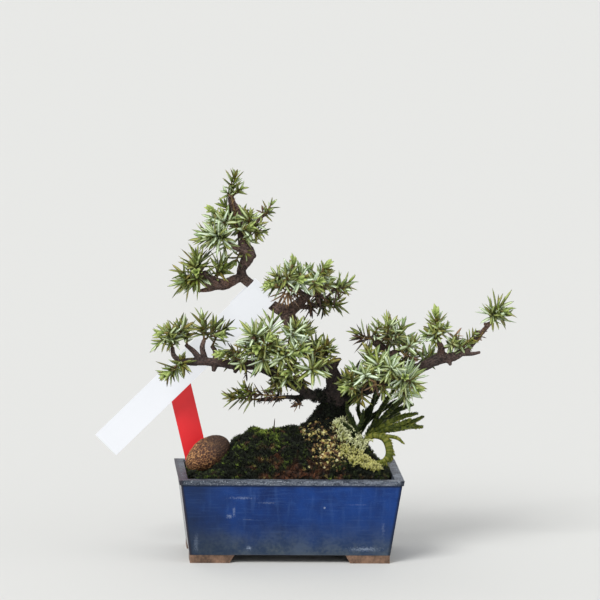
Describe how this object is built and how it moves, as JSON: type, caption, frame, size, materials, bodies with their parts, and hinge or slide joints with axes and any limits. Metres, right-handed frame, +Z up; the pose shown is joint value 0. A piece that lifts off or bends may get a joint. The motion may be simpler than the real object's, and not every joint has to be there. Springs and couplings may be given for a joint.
{
  "type": "potted needle juniper bonsai",
  "caption": "Small slanting juniper tree with open, needle-tufted branches, growing from a mossy mound in a low rectangular glazed pot on corner feet.",
  "frame": {"origin": "middle of the box round the whole tree and pot, on the surface that the pot's feet stand on", "axes": "+X along the pot's long side, towards the long right branch; +Y away from the viewing side; +Z up"},
  "size_m": [0.2562, 0.082, 0.2372],
  "materials": {
    "glaze": "gloss",
    "mesh": "matte",
    "soil": "matte",
    "moss": "matte",
    "grey_lichen": "matte",
    "yellow_lichen": "matte",
    "shell": "matte",
    "red_plastic": "satin",
    "white_plastic": "satin",
    "bark": "matte",
    "frond": "satin",
    "needle": "satin"
  },
  "bodies": {
    "root": {"pot": "glaze", "drain_mesh_left": "mesh", "drain_mesh_right": "mesh", "soil": "soil", "moss": "moss", "lichen_grey": "grey_lichen", "lichen_yellow": "yellow_lichen", "seed_stone": "shell", "red_label": "red_plastic", "white_tag": "white_plastic", "wood": "bark", "frond_curl": "frond", "frond_right": "frond", "frond_high": "frond", "frond_up": "frond", "frond_left": "frond", "spray_apex_top": "needle", "spray_apex_twig": "needle", "spray_apex_front": "needle", "spray_apex_high": "needle", "spray_apex_right": "needle", "spray_apex_rear": "needle", "spray_hook_end": "needle", "spray_hook_inner": "needle", "spray_pad_left": "needle", "spray_pad_bud": "needle", "spray_pad_top": "needle", "spray_pad_end": "needle", "spray_pad_low": "needle", "spray_pad_rear": "needle", "spray_left_tip": "needle", "spray_left_second": "needle", "spray_left_third": "needle", "spray_left_inner": "needle", "spray_left_low": "needle", "spray_left_rear": "needle", "spray_mid_brush": "needle", "spray_mid_star": "needle", "spray_mid_top": "needle", "spray_mid_centre": "needle", "spray_mid_right": "needle", "spray_mid_dark": "needle", "spray_mid_low": "needle", "spray_mid_rear": "needle", "spray_low": "needle", "spray_trunk_rear": "needle", "spray_right_left": "needle", "spray_right_top": "needle", "spray_right_white": "needle", "spray_right_shoot": "needle", "spray_right_inner": "needle", "spray_right_star": "needle", "spray_right_fork": "needle", "spray_right_small": "needle", "spray_right_end": "needle", "spray_right_rear": "needle", "spray_branch_rear": "needle"}
  },
  "joints": []
}
